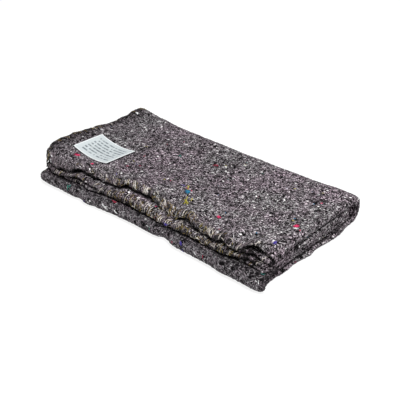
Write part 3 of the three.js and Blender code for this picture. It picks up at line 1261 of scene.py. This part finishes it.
# A stitch from its upper end round the edge to its lower end: its face, how far along and in from the edge it
# has come, each as a share, and how far it stands off.
STITCH_PATH = (
    ("upper", 1.0, 1.0, 0.15),
    ("upper", 0.62, 0.62, 0.5),
    ("upper", 0.25, 0.25, 0.5),
    ("upper", 0.05, 0.06, 0.5),
    ("rim", 0.0, 0.0, 0.5),
    ("lower", -0.1, 0.1, 0.4),
    ("lower", -0.3, 0.45, 0.4),
)
RIM = 4

# How the lower end of a stitch lies from the rim where it spills out on the ply below.
SPILL = ((0.4, -2.0, 0.1), (0.9, -4.2, -0.2))


def stitch_paths(upper, lower, along, across_at, swapped):
    """Stitches over one cut edge, and the directions away from the ply.

    The edge is given by the upper and lower grids of its ply and fractional positions along it. Two rows of
    numbers turn millimetres in from the edge into positions across it. Swapped says that these are columns.
    """

    def at(grid, position, distance):
        across = np.interp(distance, *across_at)
        return on_grid(grid, position, across) if swapped else on_grid(grid, across, position)

    count = len(along)
    gap = np.gradient(along)
    slant = random.normal(*STITCH_SLANT, count)
    depth = STITCH_DEPTH * random.uniform(*STITCH_DEPTHS, count)
    inside = np.full(count, float(RIM_INSIDE))
    paths, ups = [], []
    for face, shift, inward, clear in STITCH_PATH:
        position = along + slant * gap * shift
        over = at(upper, position, depth * inward)
        under = at(lower, position, depth * inward)
        if face == "rim":
            base = (over + under) / 2
            away = normalised(base - (at(upper, position, inside) + at(lower, position, inside)) / 2)
        elif face == "upper":
            base = over
            away = normalised(over - under)
        else:
            base = under
            away = normalised(under - over)
        paths.append(base + away * clear)
        ups.append(away)
    return np.stack(paths, 1), np.stack(ups, 1)


def spill_over(paths, ups, chosen):
    """Lays the lower ends of some stitches out on the ply below instead of under their own."""
    rim = paths[chosen, RIM]
    for k, step in enumerate(SPILL):
        paths[chosen, RIM + 1 + k] = rim + np.array(step)
        ups[chosen, RIM + 1 + k] = (0, 0, 1)


def panel_rows(panel):
    return [r for r, station in enumerate(ROWS) if station.panel == panel]


def all_stitches():
    """Stitches over every cut edge, the directions away from it, their x, and which are at the cut ends."""
    legs = (OUTER[:, :LEG], INNER[:, :LEG], INNER[:, ::-1][:, :LEG], OUTER[:, ::-1][:, :LEG])
    paths, ups, places, at_end = [], [], [], []
    top_rows = panel_rows(TOP)[:EDGE_CELLS]
    upper_rows = panel_rows(UPPER)[::-1][:EDGE_CELLS]
    hem_plies = ((top_rows, 0, 1), (top_rows, 2, 3), (upper_rows, 3, 2), (upper_rows, 1, 0))
    for hem, (rows, upper, lower) in zip(HEMS, hem_plies):
        middle = legs[upper][rows, LEG // 2, 1]
        x = legs[upper][rows[0], :, 0]
        at_x = np.arange(x[0] + STITCH_START, x[-1] - STITCH_STOP, STITCH_PITCH)
        at_x = at_x + random.uniform(-STITCH_SHIFT, STITCH_SHIFT, len(at_x))
        along = np.interp(at_x, x, np.arange(LEG))
        across_at = (np.abs(middle - middle[0]), np.array(rows, float))
        made, made_ups = stitch_paths(legs[upper], legs[lower], along, across_at, False)
        if hem == "first":
            spill_over(made, made_ups, hem_closed(at_x) > 0.5)
        paths.append(made)
        ups.append(made_ups)
        places.append(at_x)
        at_end.append(np.full(len(at_x), False))
    for upper, lower in ((0, 1), (3, 2)):
        line = legs[upper][:, 0]
        length = np.concatenate([[0], np.cumsum(np.linalg.norm(np.diff(line, axis=0), axis=-1))])
        at_length = np.arange(END_MARGIN, length[-1] - END_MARGIN, END_PITCH)
        along = np.interp(at_length, length, np.arange(len(length)))
        middle = legs[upper][len(ROWS) // 4, :EDGE_CELLS, 0]
        across_at = (middle - middle[0], np.arange(float(EDGE_CELLS)))
        made, made_ups = stitch_paths(legs[upper], legs[lower], along, across_at, True)
        paths.append(made)
        ups.append(made_ups)
        places.append(np.interp(along, np.arange(len(length)), line[:, 0]))
        at_end.append(np.full(len(along), True))
    return [np.concatenate(part) for part in (paths, ups, places, at_end)]


# Shares of olive, pale and grey thread along the hems and at the cut ends, the rest being dark.
THREAD_SHARES = columns(
    "x olive pale grey",
    (-250, 0.03, 0.03, 0.55),
    (-140, 0.04, 0.04, 0.50),
    (-100, 0.06, 0.08, 0.40),
    (-60, 0.16, 0.10, 0.20),
    (0, 0.24, 0.15, 0.14),
    (60, 0.22, 0.18, 0.12),
    (120, 0.24, 0.15, 0.12),
    (180, 0.20, 0.14, 0.14),
    (210, 0.05, 0.06, 0.34),
    (250, 0.04, 0.06, 0.34),
)
END_SHARES = {"olive": 0.22, "pale": 0.02, "grey": 0.08}
stitches, stitch_ups, stitch_x, at_end = all_stitches()
draw = random.uniform(0, 1, len(stitches))
kind = np.full(len(stitches), "dark", dtype="<U5")
reached = np.zeros(len(stitches))
for colour, end_share in END_SHARES.items():
    share = np.where(at_end, end_share, table_at(THREAD_SHARES, stitch_x, colour))
    kind[(draw >= reached) & (draw < reached + share)] = colour
    reached = reached + share

# Loose ends of thread caught along the hems, as a number of them for each colour, and the colour's two tones.
HEM_BAND = 10
FUZZ_LENGTH = 6.0
FUZZ_LIFT = 0.5
FUZZ_RADIUS = 0.5
THREADS = (
    ("olive", 110, linear(130, 116, 68), linear(100, 78, 50)),
    ("pale", 130, linear(222, 216, 206), linear(160, 150, 144)),
    ("grey", 160, linear(124, 112, 118), linear(92, 82, 88)),
    ("dark", 460, linear(13, 11, 12), linear(32, 26, 23)),
)
for colour, loose, one, other in THREADS:
    name = f"thread_{colour}"
    near_hem = SEEN * (EDGE < HEM_BAND)
    if colour in THREAD_SHARES:
        near_hem = near_hem * table_at(THREAD_SHARES, OUTER[..., 0], colour)
    fuzz, fuzz_ups = fibre_paths(loose, FUZZ_LENGTH, FUZZ_LIFT, near_hem, len(STITCH_PATH))
    chosen = kind == colour
    paths = np.concatenate([stitches[chosen], fuzz])
    ups = np.concatenate([stitch_ups[chosen], fuzz_ups])
    radius = np.repeat([THREAD, FUZZ_RADIUS], [chosen.sum(), loose])[:, None]
    material = thread_material(name, one, other)
    tubes(name, paths, ups, THREAD_SIDES, radius, STITCH_FLAT, material)

# Tufts of coloured waste in the felt, and the two tones of each colour.
TUFTS = {
    "tufts_pink": (linear(214, 50, 98), linear(170, 44, 84)),
    "tufts_red": (linear(178, 34, 62), linear(140, 36, 60)),
    "tufts_blue": (linear(30, 126, 160), linear(44, 96, 140)),
    "tufts_violet": (linear(62, 50, 140), linear(88, 74, 160)),
    "tufts_green": (linear(34, 100, 84), linear(64, 126, 122)),
    "tufts_yellow": (linear(196, 184, 50), linear(150, 142, 44)),
    "tufts_white": (linear(238, 238, 238), linear(214, 214, 216)),
    "tufts_dark": (linear(8, 7, 8), linear(18, 15, 17)),
}

# Where tufts lie, the length and number of their fibres, and the way they run in degrees from the length of
# the cloth, or None where they cross.
TUFT_SPOTS = (
    ("tufts_pink", -189, -77, 47, 7, 14, None),
    ("tufts_pink", -140, -86, 47, 5, 11, 70),
    ("tufts_pink", 128, -70, 47, 7, 16, 0),
    ("tufts_pink", 230, -13, 46, 5, 10, None),
    ("tufts_pink", 232, -15, 46, 5, 10, None),
    ("tufts_red", 9, 55, 47, 9, 4, 20),
    ("tufts_red", 32, -36, 47, 5, 4, None),
    ("tufts_blue", 37, -44, 47, 9, 11, 20),
    ("tufts_blue", 42, -48, 47, 6, 7, None),
    ("tufts_yellow", 50, -58, 47, 8, 2, -10),
    ("tufts_yellow", 58, -70, 47, 18, 5, -52),
    ("tufts_yellow", 62, -58, 47, 9, 2, -60),
    ("tufts_yellow", 31, -34, 47, 15, 2, -30),
    ("tufts_violet", 22, -33, 47, 5, 3, None),
    ("tufts_dark", 80, -48, 47, 9, 5, 20),
    ("tufts_dark", 72, -67, 47, 10, 5, 5),
    ("tufts_dark", 46, -30, 47, 5, 5, 40),
    ("tufts_dark", 228, 43, 47, 11, 14, 60),
    ("tufts_dark", -141, 87, 47, 6, 5, None),
    ("tufts_dark", 150, 30, 47, 6, 5, None),
    ("tufts_dark", -118, -93, 46, 6, 5, 0),
    ("tufts_dark", -20, 80, 47, 6, 5, None),
    ("tufts_violet", 237.3, -77, 46, 6, 7, None),
    ("tufts_violet", 62, -116, 26, 5, 5, None),
    ("tufts_violet", 104, -131, 19, 6, 4, -50),
    ("tufts_violet", 110, -131, 8, 7, 5, -50),
    ("tufts_green", -60, 38, 47, 6, 5, None),
    ("tufts_green", -156, -131, 19, 10, 5, 80),
    ("tufts_green", 249, -115, 15, 4, 12, None),
    ("tufts_red", -55, -117, 23, 6, 9, None),
    ("tufts_white", -236, 106, 47, 8, 8, 0),
    ("tufts_white", -232, 14, 47, 7, 2, 60),
    ("tufts_white", -65, -131, 13, 14, 7, -20),
    ("tufts_white", -41, -131, 13, 8, 4, -20),
    ("tufts_white", -224, -102, 39, 3.5, 4, None),
    ("tufts_white", -220, -106, 36, 3.5, 4, None),
    ("tufts_dark", -232, -103, 33, 7, 8, None),
    ("tufts_white", 253, -131, 18, 3.5, 4, None),
    ("tufts_white", 236, -20, 46, 6, 4, 43),
    ("tufts_white", 24, 64, 47, 4, 4, None),
    ("tufts_white", 44, 90, 47, 4, 4, None),
    ("tufts_white", -138, 89, 47, 4, 3, None),
)

# Single fibres of each colour, strewn over the felt.
STRAY_TUFTS = {
    "tufts_pink": 4,
    "tufts_red": 6,
    "tufts_blue": 2,
    "tufts_violet": 4,
    "tufts_green": 4,
    "tufts_yellow": 4,
    "tufts_white": 90,
    "tufts_dark": 110,
}
STRAY_LENGTH = 5.0
STRAY_LIFT = 0.35

# The radius of a tuft's fibres and the lift of their ends and middles, and their spread: in place, in heading
# and in bend, where they cross or run one way.
TUFT_RADIUS = 0.55
TUFT_SIDES = 4
TUFT_FLAT = 0.7
TUFT_FOOT = 0.3
TUFT_RISE = 0.7
CROSSED_SCATTER = 1.5
CROSSED_BEND = 1.6
RUN_SCATTER = 0.9
RUN_BEND = 0.5
RUN_SPREAD = 14


def tuft_paths(x, y, z, length, count, heading):
    """A few fibres on the seen cloth nearest to a place."""
    gap = np.linalg.norm(OUTER - np.array([x, y, z]), axis=-1) + np.where(SEEN > 0, 0, FAR)
    row, column = np.unravel_index(np.argmin(gap), gap.shape)
    crossed = heading is None
    scatter = CROSSED_SCATTER if crossed else RUN_SCATTER
    drawn = []
    for _ in range(count):
        if crossed:
            angle = random.uniform(0, 2 * np.pi)
        else:
            angle = math.radians(random.normal(heading, RUN_SPREAD))
        bend = random.normal(0, CROSSED_BEND if crossed else RUN_BEND)
        drawn.append((angle, bend, random.normal(0, scatter), random.normal(0, scatter)))
    angle, bend, off_across, off_along = np.array(drawn).T
    across = off_across - length / 2 * np.sin(angle)
    along = off_along - length / 2 * np.cos(angle)
    r, c = walked(np.full(count, float(row)), np.full(count, float(column)), across, along)
    return laid_fibres(r, c, angle, bend, length, TUFT_FOOT, TUFT_RISE)


for name, tones in TUFTS.items():
    made = [tuft_paths(*spot[1:]) for spot in TUFT_SPOTS if spot[0] == name]
    made.append(fibre_paths(STRAY_TUFTS[name], STRAY_LENGTH, STRAY_LIFT, SEEN))
    paths, ups = (np.concatenate(part) for part in zip(*made))
    material = thread_material(name, *tones)
    tubes(name, paths, ups, TUFT_SIDES, TUFT_RADIUS * FIBRE_TAPER, TUFT_FLAT, material)

# The label: a panel inside a white border, with rows of plain dashes. A span is where a part ends, as shares
# counted from the middle of the label or of a row.
LABEL_STEPS = (60, 44)
LABEL_ROWS = 9
LABEL_BORDER = linear(226, 230, 231)
LABEL_PANEL = linear(185, 192, 194)
LABEL_PRINT = linear(70, 80, 88)
LABEL_SOIL = linear(168, 170, 172)
BORDER_ACROSS = (0.487, 0.462)
BORDER_ALONG = (0.488, 0.47)
PRINT_SPAN = (0.41, 0.39)
ROW_SPAN = (0.3, 0.16)

# Dashes along a row, how far the pattern shifts from row to row, and where a dash ends in its noise.
DASHES = 16.0
DASH_SHIFT = 7.3
DASH_SPAN = (0.40, 0.50)

# Noises that wear the print and soil the cloth, with the value at which each starts and ends and its share.
PRINT_WEAR = (260.0, 3.0, 0.6)
PRINT_WEAR_SPAN = (0.3, 0.6, 0.35, 0.9)
SOIL = (60.0, 3.0, 0.6)
SOIL_SPAN = (0.5, 0.8, 0.0, 0.16)
WEAVE = 420.0


def label_grid(lift):
    u, v = np.meshgrid(np.linspace(0, 1, LABEL_STEPS[0]), np.linspace(0, 1, LABEL_STEPS[1]))
    along = (u - 0.5) * LABEL_LENGTH
    across = (v - 0.5) * LABEL_WIDTH
    x = LABEL_X + along * math.cos(LABEL_TURN) - across * math.sin(LABEL_TURN)
    y = LABEL_Y + along * math.sin(LABEL_TURN) + across * math.cos(LABEL_TURN)
    return np.stack([x, y, label_height(u, v) + lift], -1), u, v


def label_material():
    material, tree, shader = new_material("label_cloth", roughness=0.55, sheen=0.05, specular=0.35)
    place = object_place(tree)
    flat = node(tree, "ShaderNodeUVMap", uv_map="flat").outputs[0]
    u, v, _ = node(tree, "ShaderNodeSeparateXYZ", {0: flat}).outputs
    along = off_middle(tree, u)
    across = off_middle(tree, v)
    inside = times(tree, ramp(tree, across, *BORDER_ACROSS), ramp(tree, along, *BORDER_ALONG))
    colour = blend(tree, inside, LABEL_BORDER, LABEL_PANEL)

    row = times(tree, v, LABEL_ROWS)
    rule = ramp(tree, off_middle(tree, maths(tree, "FRACT", row)), *ROW_SPAN)
    row_shift = times(tree, maths(tree, "FLOOR", row), DASH_SHIFT)
    dash_place = node(tree, "ShaderNodeCombineXYZ", {0: times(tree, u, DASHES), 1: row_shift}).outputs[0]
    dashes = ramp(tree, noise(tree, dash_place, 1.0, 1.0), *DASH_SPAN)
    printed = times(tree, ramp(tree, along, *PRINT_SPAN), ramp(tree, across, *PRINT_SPAN))
    mask = ramp(tree, noise(tree, place, *PRINT_WEAR), *PRINT_WEAR_SPAN)
    rule = times(tree, times(tree, rule, printed), times(tree, dashes, mask))
    colour = blend(tree, rule, colour, LABEL_PRINT)
    colour = blend(tree, ramp(tree, noise(tree, place, *SOIL), *SOIL_SPAN), colour, LABEL_SOIL)

    inputs = {"Vector": place, "Scale": WEAVE}
    bands = [node(tree, "ShaderNodeTexWave", inputs, bands_direction=way).outputs["Fac"] for way in "XY"]
    cover(tree, shader, colour, plus(tree, *bands), strength=0.25, distance=0.0002)
    return material


label_top, label_u, label_v = label_grid(LABEL_THICK)
label_under = label_grid(0)[0]
label = sheet_piece("label_cloth", label_top, label_under, label_material())
flat_map = label.data.uv_layers.new(name="flat")
corner_points = np.zeros(len(label.data.loops), int)
label.data.loops.foreach_get("vertex_index", corner_points)
flat_place = np.tile(np.stack([label_u.ravel(), label_v.ravel()], -1), (2, 1))
flat_map.uv.foreach_set("vector", flat_place[corner_points].astype(np.float32).ravel())
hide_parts("label")


# The floor, the light and the camera.
FLOOR_HALF = 6000
FLOOR_DROP = 0.3
FLOOR_TONES = (linear(112, 112, 112), linear(116, 116, 116))
FLOOR_DRIFT = 3.0
FLOOR_SPAN = (0.3, 0.7)
FLOOR_GLOW = 0.86
WORLD_LIGHT = 0.2


def floor_material():
    material, tree, shader = new_material("floor_paper", roughness=0.9, sheen=0.0, specular=0.1)
    shade = ramp(tree, noise(tree, object_place(tree), FLOOR_DRIFT), *FLOOR_SPAN)
    tree.links.new(blend(tree, shade, *FLOOR_TONES), shader.inputs["Base Color"])
    shader.inputs["Emission Color"].default_value = WHITE
    shader.inputs["Emission Strength"].default_value = FLOOR_GLOW
    return material


floor_corners = np.array([(-1, -1), (1, -1), (1, 1), (-1, 1)]) * FLOOR_HALF
floor_points = np.column_stack([floor_corners, np.full(4, -FLOOR_DROP)])
floor = new_object("floor", floor_points, [(0, 1, 2, 3)], floor_material())


def area_light(name, place, target, size, power):
    data = bpy.data.lights.new(name, "AREA")
    data.shape = "DISK"
    data.size = size
    data.energy = power
    light = bpy.data.objects.new(name, data)
    light.location = place
    light.rotation_mode = "QUATERNION"
    light.rotation_quaternion = (Vector(target) - Vector(place)).to_track_quat("-Z", "Y")
    bpy.context.scene.collection.objects.link(light)


area_light("key", (0.5, -0.15, 2.9), (0, 0, 0), size=1.8, power=110)
area_light("near", (0.76, -0.1, 0.58), (0.3, 0, 0), size=0.5, power=3.0)

world = bpy.data.worlds.new("studio")
world.use_nodes = True
world.node_tree.nodes["Background"].inputs["Color"].default_value = WHITE
world.node_tree.nodes["Background"].inputs["Strength"].default_value = WORLD_LIGHT
scene = bpy.context.scene
scene.world = world
scene.view_settings.view_transform = "Standard"

CAMERA_AZIMUTH = math.radians(42.8)
CAMERA_ELEVATION = math.radians(29.0)
CAMERA_DISTANCE = 1.374
CAMERA_TARGET = Vector((0.040, -0.017, 0.020))
CAMERA_LENS = 76.5
CAMERA_SENSOR = 36.0
back = Vector(
    (
        math.sin(CAMERA_AZIMUTH) * math.cos(CAMERA_ELEVATION),
        -math.cos(CAMERA_AZIMUTH) * math.cos(CAMERA_ELEVATION),
        math.sin(CAMERA_ELEVATION),
    )
)
camera_data = bpy.data.cameras.new("camera")
camera_data.lens = CAMERA_LENS
camera_data.sensor_width = CAMERA_SENSOR
camera = bpy.data.objects.new("camera", camera_data)
camera.location = CAMERA_TARGET + back * CAMERA_DISTANCE
camera.rotation_mode = "QUATERNION"
camera.rotation_quaternion = (-back).to_track_quat("-Z", "Y")
scene.collection.objects.link(camera)
scene.camera = camera
